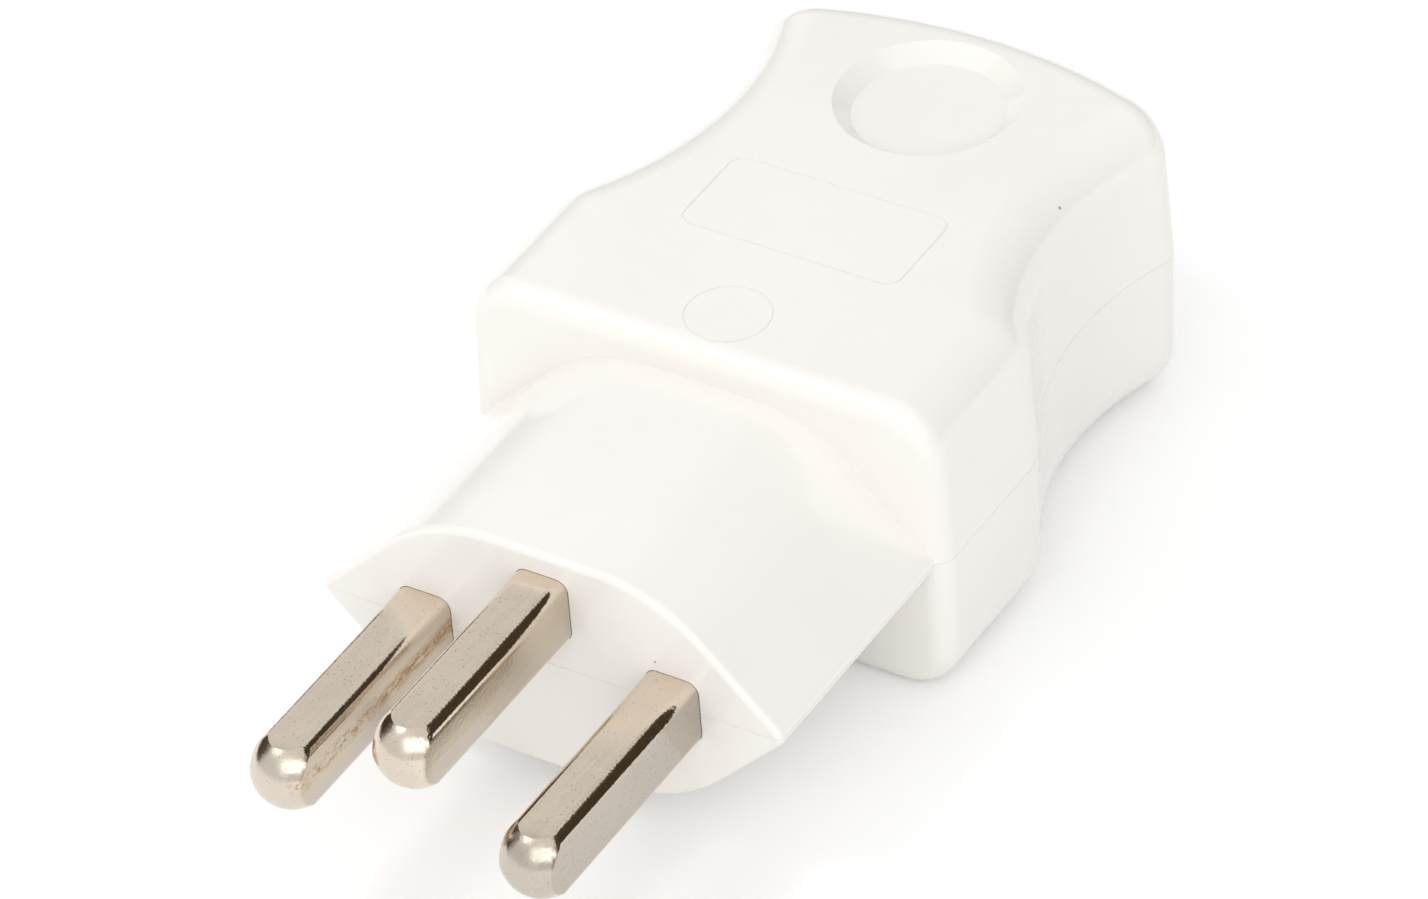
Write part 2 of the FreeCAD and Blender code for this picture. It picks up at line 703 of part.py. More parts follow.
def make_screw_group(label, kind, places):
    """Equal screws at several places, kept together as one group of solids."""
    sizes = [f"sizes.{kind}_screw", f"sizes.{kind}_screw_length", f"sizes.{kind}_head"]
    sizes.append(f"sizes.{kind}_head_height")
    screws = []
    for count, spot in enumerate(places, start=1):
        screw = make_screw(f"{kind}_screw_{count}", *sizes)
        place(screw, *spot)
        screws.append(screw)
    group = doc.addObject("Part::Compound", label)
    group.Label = label
    group.Links = screws
    return group


def make_cord_clamp():
    """The bridge under the cord: two ears on the posts and an arch between them."""
    body = new_body("cord_clamp")
    inner = "(sizes.clamp_grip / 2)"
    outer = f"({inner} + sizes.clamp_thickness)"
    ear_end = "((sizes.clamp_post_spacing + sizes.clamp_post) / 2)"
    top = "-sizes.clamp_drop"
    under = "(sizes.clamp_drop + sizes.clamp_thickness)"
    inner_x = f"sqrt({inner} ^ 2 - sizes.clamp_drop ^ 2)"
    outer_x = f"sqrt({outer} ^ 2 - {under} ^ 2)"
    profile = new_sketch(body, "clamp_profile", "XZ_Plane", f"-{CLAMP_Y}")
    add_loop(
        profile,
        [
            (f"-{ear_end}", top),
            (f"-{ear_end}", f"-{under}"),
            (f"-{outer_x}", f"-{under}"),
            (outer_x, f"-{under}"),
            (ear_end, f"-{under}"),
            (ear_end, top),
            (inner_x, top),
            (f"-{inner_x}", top),
        ],
        {2: (outer, True), 6: (inner, False)},
    )
    pad(body, profile, "sizes.clamp_length", both_ways=True)
    holes = new_sketch(body, "clamp_holes", "XY_Plane")
    for sign in (1, -1):
        add_circle(
            holes,
            f"{sign} * sizes.clamp_post_spacing / 2",
            CLAMP_Y,
            "sizes.clamp_screw + 2 * sizes.screw_play",
        )
    pocket(body, holes, f"2 * {under}")
    return body


upper_shell = make_shell("upper_shell", upper_details)
lower_shell = make_shell("lower_shell", lower_details)
lower_shell.Placement.Rotation = FreeCAD.Rotation(Vector(0, 1, 0), 180)

line_pin = make_pin("line_pin", "sizes.pin_reach", "0")
place(line_pin, PIN_X, "0", "0")
neutral_pin = make_pin("neutral_pin", "sizes.pin_reach", "0")
place(neutral_pin, f"-{PIN_X}", "0", "0")
earth_pin = make_pin("earth_pin", "sizes.earth_reach", "sizes.earth_setback")
place(earth_pin, "0", "0", "sizes.earth_rise")

block_base = "-sizes.pin_height / 2"
screw_row = f"{RIB_BACK} + sizes.terminal_screw_place"
terminal_screws = make_screw_group(
    "terminal_screws",
    "terminal",
    [
        (PIN_X, screw_row, block_base),
        (f"-{PIN_X}", screw_row, block_base),
        ("0", f"{screw_row} + sizes.earth_setback", f"sizes.earth_rise {block_base}"),
    ],
)
cord_clamp = make_cord_clamp()
clamp_screws = make_screw_group(
    "clamp_screws",
    "clamp",
    [
        (f"{sign} * sizes.clamp_post_spacing / 2", CLAMP_Y, "-sizes.clamp_drop - sizes.clamp_thickness")
        for sign in (1, -1)
    ],
)
housing_screws = make_screw_group(
    "housing_screws",
    "housing",
    [
        (f"{sign} * sizes.housing_post_spacing / 2", POST_Y, f"sizes.housing_head_depth - {HALF_HEIGHT}")
        for sign in (1, -1)
    ],
)
doc.recompute()

NODES = [
    upper_shell,
    lower_shell,
    line_pin,
    neutral_pin,
    earth_pin,
    terminal_screws,
    cord_clamp,
    clamp_screws,
    housing_screws,
]
for obj in doc.Objects:
    if "Invalid" in obj.State or "Error" in obj.State:
        raise RuntimeError(f"{obj.Label} did not build")
for node in NODES:
    if node.Shape.isNull() or not node.Shape.isValid():
        raise RuntimeError(f"{node.Label} has no valid shape")

os.makedirs("parts", exist_ok=True)
for node in NODES:
    node.Shape.exportStep(f"parts/{node.Label}.step")
    print(f"{node.Label}: {len(node.Shape.Solids)} solids, {node.Shape.Volume:.1f} mm3")
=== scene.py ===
# %% [markdown]
# This lesson dresses a rewirable mains plug with three rectangular pins. Its two white shells, its pins and
# its screws were drawn as solids in CAD, and they arrive here as a fixed frame in metres: pins towards -Y,
# cord towards +Y, marked side up. Nothing in the frame is moved, so the work below is camera, light and
# finish. The box of the frame is measured and printed.

# %% Load the frame
import bpy
import bmesh
import math
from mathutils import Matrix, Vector


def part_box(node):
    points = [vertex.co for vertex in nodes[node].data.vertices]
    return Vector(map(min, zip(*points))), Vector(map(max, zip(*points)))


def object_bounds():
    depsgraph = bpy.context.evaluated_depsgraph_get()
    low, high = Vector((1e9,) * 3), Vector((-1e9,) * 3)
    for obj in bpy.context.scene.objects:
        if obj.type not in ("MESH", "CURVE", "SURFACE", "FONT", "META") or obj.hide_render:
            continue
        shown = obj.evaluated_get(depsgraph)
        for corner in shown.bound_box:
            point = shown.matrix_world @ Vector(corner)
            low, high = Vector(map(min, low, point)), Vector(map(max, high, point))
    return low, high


MM_PER_M = 1000

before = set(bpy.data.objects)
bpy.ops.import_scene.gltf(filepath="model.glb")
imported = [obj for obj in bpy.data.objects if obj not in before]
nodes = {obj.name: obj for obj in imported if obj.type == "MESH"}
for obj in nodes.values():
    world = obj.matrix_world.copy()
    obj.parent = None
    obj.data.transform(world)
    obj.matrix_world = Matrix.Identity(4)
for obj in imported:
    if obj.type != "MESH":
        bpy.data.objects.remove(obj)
cad_box = [list(corner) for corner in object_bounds()]
box_mm = [[round(MM_PER_M * side, 1) for side in corner] for corner in cad_box]
print("frame:", sorted(nodes), "box in mm:", box_mm)

# %% [markdown]
# The photograph was taken from a long way off with a long lens, so the sides of the plug stay nearly
# parallel. The pins of this plug system have fixed sizes, which is enough to work back to the place of the
# camera. The camera is written as that place, three angles and a focal length. It leans a little, because
# the real plug stood tipped on the edge of its nose.

# %% Place the camera
CAMERA_PLACE = (0.24886, -0.34883, 0.36157)
CAMERA_ANGLES = (51.061, 3.720, 30.918)
FOCAL_LENGTH = 216.665
SENSOR_WIDTH = 36.0
NEAREST_SEEN = 0.01

lens = bpy.data.cameras.new("camera")
lens.lens = FOCAL_LENGTH
lens.sensor_width = SENSOR_WIDTH
lens.sensor_fit = "HORIZONTAL"
lens.clip_start = NEAREST_SEEN
camera = bpy.data.objects.new("camera", lens)
camera.location = CAMERA_PLACE
camera.rotation_euler = [math.radians(angle) for angle in CAMERA_ANGLES]
bpy.context.scene.collection.objects.link(camera)
bpy.context.scene.camera = camera
print("camera:", CAMERA_PLACE, "m,", FOCAL_LENGTH, "mm lens")

# %% [markdown]
# Every finish below is a small tree of shader nodes, and a few helpers keep those trees readable. add_node
# takes a dictionary of sockets: a plain value is set, and another socket is linked. mix_colour blends two
# colours, because the Mix node hides its colour sockets behind numbers. math_node does one sum, and remap
# moves a value from one span to another with soft ends. new_group and use_group make a group and put it into
# a tree. The last four read an object's own coordinates, start a material and add its bump.

# %% Node helpers
MIX_FACTOR, MIX_FIRST, MIX_SECOND, MIX_RESULT = 0, 6, 7, 2


def add_node(tree, kind, sockets=None, **settings):
    node = tree.nodes.new(kind)
    for name, value in settings.items():
        setattr(node, name, value)
    for name, value in (sockets or {}).items():
        if isinstance(value, bpy.types.NodeSocket):
            tree.links.new(value, node.inputs[name])
        else:
            node.inputs[name].default_value = value
    return node


def mix_colour(tree, factor, first, second):
    sockets = {MIX_FACTOR: factor, MIX_FIRST: first, MIX_SECOND: second}
    return add_node(tree, "ShaderNodeMix", sockets, data_type="RGBA").outputs[MIX_RESULT]


def math_node(tree, operation, *values):
    return add_node(tree, "ShaderNodeMath", dict(enumerate(values)), operation=operation).outputs[0]


def remap(tree, value, low, high, to_low, to_high):
    sockets = {"Value": value, "From Min": low, "From Max": high, "To Min": to_low, "To Max": to_high}
    return add_node(tree, "ShaderNodeMapRange", sockets, interpolation_type="SMOOTHSTEP").outputs["Result"]


def new_group(name, inputs, outputs):
    group = bpy.data.node_groups.new(name, "ShaderNodeTree")
    for title, kind, value in inputs:
        group.interface.new_socket(title, in_out="INPUT", socket_type=kind).default_value = value
    for title in outputs:
        group.interface.new_socket(title, in_out="OUTPUT", socket_type="NodeSocketFloat")
    return group, group.nodes.new("NodeGroupInput").outputs, group.nodes.new("NodeGroupOutput")


def use_group(tree, group, values):
    node = add_node(tree, "ShaderNodeGroup", node_tree=group)
    for title, value in values.items():
        node.inputs[title].default_value = value
    return node.outputs


def own_place(tree):
    return add_node(tree, "ShaderNodeTexCoord").outputs["Object"]


def own_xyz(tree):
    return add_node(tree, "ShaderNodeSeparateXYZ", {0: own_place(tree)}).outputs


def new_finish(name):
    material = bpy.data.materials.new(name)
    material.use_nodes = True
    return material, material.node_tree, material.node_tree.nodes["Principled BSDF"]


def raise_bump(tree, shader, height, strength, distance):
    bump = add_node(tree, "ShaderNodeBump", {"Height": height, "Strength": strength, "Distance": distance})
    tree.links.new(bump.outputs["Normal"], shader.inputs["Normal"])


print("helpers ready")

# %% [markdown]
# The plug was photographed on white, as goods are for a catalogue. A wide floor does that here. Seen straight
# by the camera, or in a mirror finish, it adds a little light of its own so that it reads as white, while its
# matt part still takes the soft shadow of the plug. It lies a hair below the underside, so that no two faces
# share one plane.

# %% Lay the floor
FLOOR_SIZE = 6.0
FLOOR_COLOUR = (0.90, 0.90, 0.90, 1.0)
FLOOR_GLOW = 0.16
FLOOR_GAP = 0.00004

floor_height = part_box("lower_shell")[0][2] - FLOOR_GAP
sheet = bmesh.new()
bmesh.ops.create_grid(sheet, x_segments=1, y_segments=1, size=FLOOR_SIZE / 2)
bmesh.ops.translate(sheet, verts=sheet.verts, vec=(0, 0, floor_height))
floor_mesh = bpy.data.meshes.new("floor")
sheet.to_mesh(floor_mesh)
sheet.free()
floor = bpy.data.objects.new("floor", floor_mesh)
bpy.context.scene.collection.objects.link(floor)


def seen_directly(tree):
    path = add_node(tree, "ShaderNodeLightPath").outputs
    straight = math_node(tree, "MAXIMUM", path["Is Camera Ray"], path["Is Glossy Ray"])
    return math_node(tree, "MAXIMUM", straight, path["Is Transmission Ray"])


paper = bpy.data.materials.new("floor_paper")
paper.use_nodes = True
tree = paper.node_tree
tree.nodes.clear()
matt = add_node(tree, "ShaderNodeBsdfDiffuse", {"Color": FLOOR_COLOUR})
glow_level = math_node(tree, "MULTIPLY", seen_directly(tree), FLOOR_GLOW)
glow = add_node(tree, "ShaderNodeEmission", {"Strength": glow_level})
both = add_node(tree, "ShaderNodeAddShader", {0: matt.outputs[0], 1: glow.outputs[0]})
add_node(tree, "ShaderNodeOutputMaterial", {"Surface": both.outputs[0]})
floor_mesh.materials.append(paper)
print("floor at z =", round(MM_PER_M * floor_height, 2), "mm")

# %% [markdown]
# The light is a white tent: a glow from all round that leaves hardly a shadow, with a wide soft lamp in
# front. The tent is dimmer low at the rear right, which gives the plug its shaded side. In the world, a
# Generated coordinate is the direction of the ray, so its dot product with that side tells where to dim.
# Seen straight or in a mirror finish, the tent is plain white. Small lamps inside it do the drawing. One
# above on the left runs a line of shine along the front edge of the grip, and one on the right catches the
# front edge of the nose. Each is small and therefore bright to look at, but it adds little light to the plug
# as a whole. A lamp is written as its direction from the plug, its two sides in metres and its power.

# %% Light the studio
AMBIENT = 1.125
DIM_SIDE = (0.70, 0.71, 0.0)
DIM_STARTS, DIM_FULL = 0.45, 0.95
DIM_AMBIENT = 0.70
SEEN_WHITE = 1.0
PLUG_MIDDLE = Vector((0.0, 0.025, 0.0))
LAMP_DISTANCE = 0.8
LAMPS = {
    "front_fill": ((0.42, -0.74, 0.66), (0.80, 0.50), 1.3),
    "edge_lamp": ((-0.43, -0.30, 0.85), (0.16, 0.16), 0.64),
    "nose_lamp": ((0.79, -0.30, 0.50), (0.12, 0.20), 0.13),
}

world = bpy.data.worlds.new("white_tent")
bpy.context.scene.world = world
world.use_nodes = True
tree = world.node_tree
tree.nodes.clear()
heading = add_node(tree, "ShaderNodeTexCoord").outputs["Generated"]
facing = add_node(tree, "ShaderNodeVectorMath", {0: heading, 1: DIM_SIDE}, operation="DOT_PRODUCT")
ambient = remap(tree, facing.outputs["Value"], DIM_STARTS, DIM_FULL, AMBIENT, DIM_AMBIENT)
level = remap(tree, seen_directly(tree), 0.0, 1.0, ambient, SEEN_WHITE)
tent = add_node(tree, "ShaderNodeBackground", {"Strength": level})
add_node(tree, "ShaderNodeOutputWorld", {"Surface": tent.outputs[0]})
for name, (direction, size, power) in LAMPS.items():
    light = bpy.data.lights.new(name, "AREA")
    light.shape = "RECTANGLE"
    light.size, light.size_y = size
    light.energy = power
    lamp = bpy.data.objects.new(name, light)
    lamp.location = PLUG_MIDDLE + LAMP_DISTANCE * Vector(direction).normalized()
    lamp.rotation_euler = (PLUG_MIDDLE - lamp.location).to_track_quat("-Z", "Y").to_euler()
    bpy.context.scene.collection.objects.link(lamp)
print("lamps:", sorted(LAMPS))

# %% [markdown]
# Polished metal only looks like metal when it has something dark to mirror. In a studio that is the room
# beyond the tent. Here it is a dark curtain in a ring round the floor. It hangs high at the rear right, which
# gives each pin its dark band along the rounded edge, and a shorter piece on the left darkens one side of the
# domed tips. Each part is a plain ring cut with planes, and a plane is written as a point on it and the
# direction that is cut away. The camera and matt surfaces don't see the curtain, so it only works in
# reflections.

# %% Hang the dark curtain
CURTAIN_RADIUS = 0.9
CURTAIN_HEIGHT = 1.5
CURTAIN_SEGMENTS = 96
VELVET_COLOUR = (0.052, 0.034, 0.014, 1.0)
VELVET_ROUGHNESS = 1.0
REAR_CUTS = [((0.0, 0.0, 0.115), (-0.915, -1.3, 1.0))]
LEFT_CUTS = [
    ((0.0, 0.0, 0.70), (0.0, 0.0, 1.0)),
    ((0.0, 0.0, 0.0), (1.0, 0.0, 0.0)),
    ((0.0, 0.40, 0.0), (0.0, 1.0, 0.0)),
    ((0.0, -0.35, 0.0), (0.0, -1.0, 0.0)),
]

curtain_mesh = bpy.data.meshes.new("curtain")
folds = bmesh.new()
for cuts in (REAR_CUTS, LEFT_CUTS):
    ring = bmesh.new()
    sizes = {"depth": CURTAIN_HEIGHT, "radius1": CURTAIN_RADIUS, "radius2": CURTAIN_RADIUS}
    bmesh.ops.create_cone(ring, cap_ends=False, segments=CURTAIN_SEGMENTS, **sizes)
    bmesh.ops.translate(ring, verts=ring.verts, vec=(0, 0, floor_height + CURTAIN_HEIGHT / 2))
    for place, outward in cuts:
        whole = ring.verts[:] + ring.edges[:] + ring.faces[:]
        bmesh.ops.bisect_plane(ring, geom=whole, plane_co=place, plane_no=outward, clear_outer=True)
    ring.to_mesh(curtain_mesh)
    ring.free()
    folds.from_mesh(curtain_mesh)
folds.to_mesh(curtain_mesh)
folds.free()
curtain = bpy.data.objects.new("curtain", curtain_mesh)
curtain.visible_camera = False
curtain.visible_diffuse = False
curtain.visible_shadow = False
bpy.context.scene.collection.objects.link(curtain)
velvet, tree, shader = new_finish("dark_velvet")
shader.inputs["Base Color"].default_value = VELVET_COLOUR
shader.inputs["Roughness"].default_value = VELVET_ROUGHNESS
curtain_mesh.materials.append(velvet)
print("curtain:", len(curtain_mesh.polygons), "faces")

# %% [markdown]
# Three effects come back in several finishes, so each is built once as a group of nodes. The first is the
# slow unevenness that any real surface has: faint clouds of tone a few millimetres wide, and a fine ripple
# that goes to a bump. It reads the object's own coordinates in metres, so a scale of 1000 means detail of
# about a millimetre, and the pattern stays put from every side. Nearly all values of a noise lie between 0.3
# and 0.7, so those are the ends that get stretched.

# %% Group for clouds and ripple
NOISE_LOW, NOISE_HIGH = 0.3, 0.7

clouds, given, result = new_group(
    "clouds_and_ripple",
    [("Cloud Scale", "NodeSocketFloat", 120.0), ("Ripple Scale", "NodeSocketFloat", 900.0)],
    ["Cloud", "Ripple"],
)
place = own_place(clouds)
sockets = {"Vector": place, "Scale": given["Cloud Scale"], "Detail": 4.0}
cloud = add_node(clouds, "ShaderNodeTexNoise", sockets).outputs["Fac"]
sockets = {"Vector": place, "Scale": given["Ripple Scale"], "Detail": 2.0}
ripple = add_node(clouds, "ShaderNodeTexNoise", sockets).outputs["Fac"]
clouds.links.new(remap(clouds, cloud, NOISE_LOW, NOISE_HIGH, 0.0, 1.0), result.inputs["Cloud"])
clouds.links.new(ripple, result.inputs["Ripple"])
print("group:", clouds.name)

# %% [markdown]
# The second effect is grit: pits in plating, or dust that was caught in the moulding. A Voronoi texture drops
# one point into each cell of a grid. Only points in the cells that draw a high enough number are kept, and a
# small distance round each of those becomes the mask.

# %% Group for grit
grit, given, result = new_group(
    "grit",
    [
        ("Scale", "NodeSocketFloat", 800.0),
        ("Size", "NodeSocketFloat", 0.1),
        ("Rarity", "NodeSocketFloat", 0.8),
    ],
    ["Mask"],
)
sockets = {"Vector": own_place(grit), "Scale": given["Scale"]}
cells = add_node(grit, "ShaderNodeTexVoronoi", sockets).outputs
draw = add_node(grit, "ShaderNodeSeparateColor", {"Color": cells["Color"]}).outputs["Red"]
kept = math_node(grit, "GREATER_THAN", draw, given["Rarity"])
near = math_node(grit, "LESS_THAN", cells["Distance"], given["Size"])
grit.links.new(math_node(grit, "MULTIPLY", kept, near), result.inputs["Mask"])
print("group:", grit.name)

# %% [markdown]
# The third effect is rubbing. A pin is pushed into a socket and pulled out again, always along the same line,
# and a screw is wiped by the driver, so the marks are long and thin. Stretching a noise along one axis gives
# such streaks, and the stretch is an input.

# %% Group for rubbed streaks
streaks, given, result = new_group(
    "rubbed_streaks",
    [("Stretch", "NodeSocketVector", (1.0, 0.06, 1.0)), ("Scale", "NodeSocketFloat", 2200.0)],
    ["Streak"],
)
sockets = {0: own_place(streaks), 1: given["Stretch"]}
pulled = add_node(streaks, "ShaderNodeVectorMath", sockets, operation="MULTIPLY").outputs[0]
sockets = {"Vector": pulled, "Scale": given["Scale"], "Detail": 3.0}
lines = add_node(streaks, "ShaderNodeTexNoise", sockets).outputs["Fac"]
streaks.links.new(lines, result.inputs["Streak"])
print("group:", streaks.name)

# %% [markdown]
# The shells are moulded in a glossy off-white plastic. The tone drifts a little over the surface, the gloss
# has a very faint orange peel from the mould, and the line where the two shells meet has gathered some grey.
# That line lies at height zero, so a narrow band there is toned down. The fine grooves on top, round a field
# and a spot, are painted darker as painted shade in the groove, less at the spot: they are what lies just
# below the top face there. Fine dust is scattered over all of it, and two larger specks are put where the real
# plug has them, as small balls of grey round a point.

# %% Finish of the white shells
SHELL_COLOUR = (0.925, 0.900, 0.862, 1.0)
SHELL_SHADE = (0.905, 0.880, 0.840, 1.0)
# The seam's grey, also used for the painted shade in the grooves.
SEAM_AND_GROOVE_SHADE_COLOUR = (0.52, 0.49, 0.44, 1.0)
DUST_COLOUR = (0.34, 0.29, 0.24, 1.0)
SHELL_GLOSS = (0.13, 0.20)
SHELL_BUMP = (0.05, 0.0002)
SHELL_IOR = 1.5
SEAM_WIDTH = 0.00006
SEAM_TONE = 0.15
MARKS_LOW, MARKS_HIGH = (-0.0088, 0.02117), (0.0088, 0.0400)
MARK_DEPTH = 0.00005
RIM_SHARE, REACH_SHARE = 0.2, 1.5
SPOT_ENDS, FIELD_STARTS = 0.0285, 0.0300
# Painted shade in the grooves round the spot and the field.
SPOT_SHADE_TONE, FIELD_SHADE_TONE = 0.065, 0.11
SPECK_TONE = 0.9
SPECKS = [((0.01311, 0.04571, 0.01030), 0.00019), ((0.00833, 0.0, 0.00326), 0.00013)]
SOLID_SHARE = 0.3

white_moulding, tree, shader = new_finish("white_moulding")
uneven = use_group(tree, clouds, {"Cloud Scale": 70.0, "Ripple Scale": 650.0})
dust = use_group(tree, grit, {"Scale": 260.0, "Size": 0.022, "Rarity": 0.94})
spot = own_xyz(tree)
from_seam = math_node(tree, "ABSOLUTE", spot["Z"])
seam = remap(tree, from_seam, SOLID_SHARE * SEAM_WIDTH, SEAM_WIDTH, SEAM_TONE, 0.0)
marked_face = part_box("upper_shell")[1][2]
# Painted shade in the fine grooves, lighter at the spot.
groove_shade_tone = remap(tree, spot["Y"], SPOT_ENDS, FIELD_STARTS, SPOT_SHADE_TONE, FIELD_SHADE_TONE)
groove_floor, groove_rim = marked_face - MARK_DEPTH, marked_face - RIM_SHARE * MARK_DEPTH
groove_shade = remap(tree, spot["Z"], groove_floor, groove_rim, groove_shade_tone, 0.0)
marks_low = (*MARKS_LOW, marked_face - REACH_SHARE * MARK_DEPTH)
marks_high = (*MARKS_HIGH, marked_face + MARK_DEPTH)
for axis, low, high in zip("XYZ", marks_low, marks_high):
    inside = math_node(tree, "MULTIPLY", math_node(tree, "GREATER_THAN", spot[axis], low), groove_shade)
    groove_shade = math_node(tree, "MULTIPLY", math_node(tree, "LESS_THAN", spot[axis], high), inside)
tone = mix_colour(tree, uneven["Cloud"], SHELL_COLOUR, SHELL_SHADE)
# The seam turns grey and the grooves take their painted shade.
tone = mix_colour(tree, math_node(tree, "MAXIMUM", seam, groove_shade), tone, SEAM_AND_GROOVE_SHADE_COLOUR)
tone = mix_colour(tree, dust["Mask"], tone, DUST_COLOUR)
for centre, radius in SPECKS:
    away = add_node(tree, "ShaderNodeVectorMath", {0: own_place(tree), 1: centre}, operation="DISTANCE")
    speck = remap(tree, away.outputs["Value"], SOLID_SHARE * radius, radius, SPECK_TONE, 0.0)
    tone = mix_colour(tree, speck, tone, DUST_COLOUR)
tree.links.new(tone, shader.inputs["Base Color"])
gloss = remap(tree, uneven["Ripple"], NOISE_LOW, NOISE_HIGH, *SHELL_GLOSS)
tree.links.new(gloss, shader.inputs["Roughness"])
shader.inputs["IOR"].default_value = SHELL_IOR
raise_bump(tree, shader, uneven["Ripple"], *SHELL_BUMP)
print("finish:", white_moulding.name)

# %% [markdown]
# The pins are brass under a thin warm nickel plate. Plating is never as smooth as polished steel: it is
# finely grained, with pits, a cloudy tone and rubs along its length. The groups above drive the colour, the
# roughness and a fine bump. The side faces and the front of each domed tip are painted darker, as painted
# shade. The rounded edges are burnished by the drawing die, and the tips are matt from the tumbling drum. The
# pins stand at one pitch, so wrapping x by that pitch measures how far a point lies to the side of its own
# pin, and one recipe serves them all. Two pins are more worn, with a wash of brass on the upper half of their
# sides, and their painted side shade is paler.

# %% Finish of the plated pins
NICKEL_COLOUR = (0.830, 0.728, 0.612, 1.0)
NICKEL_SHADE = (0.720, 0.618, 0.505, 1.0)
PIT_COLOUR = (0.24, 0.18, 0.12, 1.0)
# The side colours are painted shade on the side faces and tip fronts; the worn pins get a paler one.
SIDE_SHADE_COLOUR = (0.49, 0.45, 0.395, 1.0)
WORN_SIDE_SHADE_COLOUR = (0.63, 0.575, 0.50, 1.0)
WASH_COLOUR = (0.66, 0.56, 0.42, 1.0)
WASH_STARTS, WASH_FULL = -0.0009, 0.0002
WASH_STRENGTH = 0.6
EARTH_RISE = 0.005
PIN_PITCH = 0.0095
EDGE_STARTS, EDGE_FULL = 0.0011, 0.0013
SIDE_STARTS, SIDE_FULL = 0.0018, 0.00195
SIDE_FLAT = 0.00199
TIP_STARTS, TIP_FULL = -0.0164, -0.0174
# Where the front of each domed tip takes painted shade in the side colour.
CAP_SHADE_STARTS, CAP_SHADE_FULL = -0.0172, -0.0184
# Strength of the painted shade on the sides and on the tip fronts, and the darkness of the pits.
SIDE_SHADE_TONE, CAP_SHADE_TONE, PIT_TONE = 0.9, 0.7, 0.5
CLOUD_WEAR, RIPPLE_WEAR = 0.3, 0.8
PIN_GLOSS = (0.13, 0.20)
EDGE_POLISH, TIP_DULLING = -0.08, 0.10
PIN_BUMP = (0.22, 0.00004)


def plate_pin(name, side_shade_colour, wash_strength, height):
    material, tree, shader = new_finish(name)
    uneven = use_group(tree, clouds, {"Cloud Scale": 380.0, "Ripple Scale": 5200.0})
    pits = use_group(tree, grit, {"Scale": 4600.0, "Size": 0.24, "Rarity": 0.86})
    rubs = use_group(tree, streaks, {"Stretch": (1.0, 0.08, 1.0), "Scale": 3000.0})
    spot = own_xyz(tree)
    across = math_node(tree, "WRAP", spot["X"], PIN_PITCH / 2, -PIN_PITCH / 2)
    sideways = math_node(tree, "ABSOLUTE", across)
    # Painted shade on the side faces of the pin.
    side = remap(tree, sideways, SIDE_STARTS, SIDE_FULL, 0.0, SIDE_SHADE_TONE)
    edge = remap(tree, sideways, EDGE_STARTS, EDGE_FULL, 0.0, 1.0)
    edge = math_node(tree, "MULTIPLY", edge, remap(tree, sideways, SIDE_FULL, SIDE_FLAT, 1.0, 0.0))
    tip = remap(tree, spot["Y"], TIP_FULL, TIP_STARTS, TIP_DULLING, 0.0)
    cloudy = math_node(tree, "MULTIPLY", uneven["Cloud"], CLOUD_WEAR)
    worn = math_node(tree, "MULTIPLY_ADD", uneven["Ripple"], RIPPLE_WEAR, cloudy)
    tone = mix_colour(tree, worn, NICKEL_COLOUR, NICKEL_SHADE)
    # Painted shade on the front of the domed tip, in the side colour.
    tip_cap_shade = remap(tree, spot["Y"], CAP_SHADE_FULL, CAP_SHADE_STARTS, CAP_SHADE_TONE, 0.0)
    tone = mix_colour(tree, math_node(tree, "MAXIMUM", side, tip_cap_shade), tone, side_shade_colour)
    wash = remap(tree, spot["Z"], height + WASH_STARTS, height + WASH_FULL, 0.0, wash_strength)
    tone = mix_colour(tree, math_node(tree, "MULTIPLY", wash, side), tone, WASH_COLOUR)
    tone = mix_colour(tree, math_node(tree, "MULTIPLY", pits["Mask"], PIT_TONE), tone, PIT_COLOUR)
    shader.inputs["Metallic"].default_value = 1.0
    tree.links.new(tone, shader.inputs["Base Color"])
    gloss = remap(tree, rubs["Streak"], NOISE_LOW, NOISE_HIGH, *PIN_GLOSS)
    gloss = math_node(tree, "MULTIPLY_ADD", edge, EDGE_POLISH, gloss)
    tree.links.new(math_node(tree, "ADD", gloss, tip), shader.inputs["Roughness"])
    relief = math_node(tree, "SUBTRACT", uneven["Ripple"], pits["Mask"])
    raise_bump(tree, shader, relief, *PIN_BUMP)
    return material


nickel_plate = plate_pin("nickel_plate", SIDE_SHADE_COLOUR, 0.0, 0.0)
worn_plate = plate_pin("worn_plate", WORN_SIDE_SHADE_COLOUR, WASH_STRENGTH, EARTH_RISE)
print("finishes:", nickel_plate.name, worn_plate.name)

# %% [markdown]
# On one pin the plate has worn through on the side that looks at its neighbours: a broken brown streak runs
# along it, a little above the middle. The streak is that pin's plate with one more layer. Two soft steps
# bound it in height, the mean of a stretched noise and a fine grain breaks it up, more so towards the tip, and
# it is kept to the right-hand face. Where it is brown it is also duller and less of a metal.

# %% Finish of the stained pin
STAIN_COLOUR = (0.42, 0.23, 0.085, 1.0)
STAIN_LOW = -0.0004
STAIN_HIGH = 0.0015
STAIN_SOFT = 0.0009
STAIN_TIP = -0.016
STAIN_ROOT = -0.004
STAIN_FACE_STARTS, STAIN_FACE_FULL = -0.0009, -0.0002
STAIN_TONE = 0.95
STAIN_GAIN = 0.08
FLECK_LOW, FLECK_HIGH = 0.50, 0.60
STAIN_DULLING, STAIN_LESS_METAL = 0.35, -0.8
PIN_HALF_WIDTH = 0.002

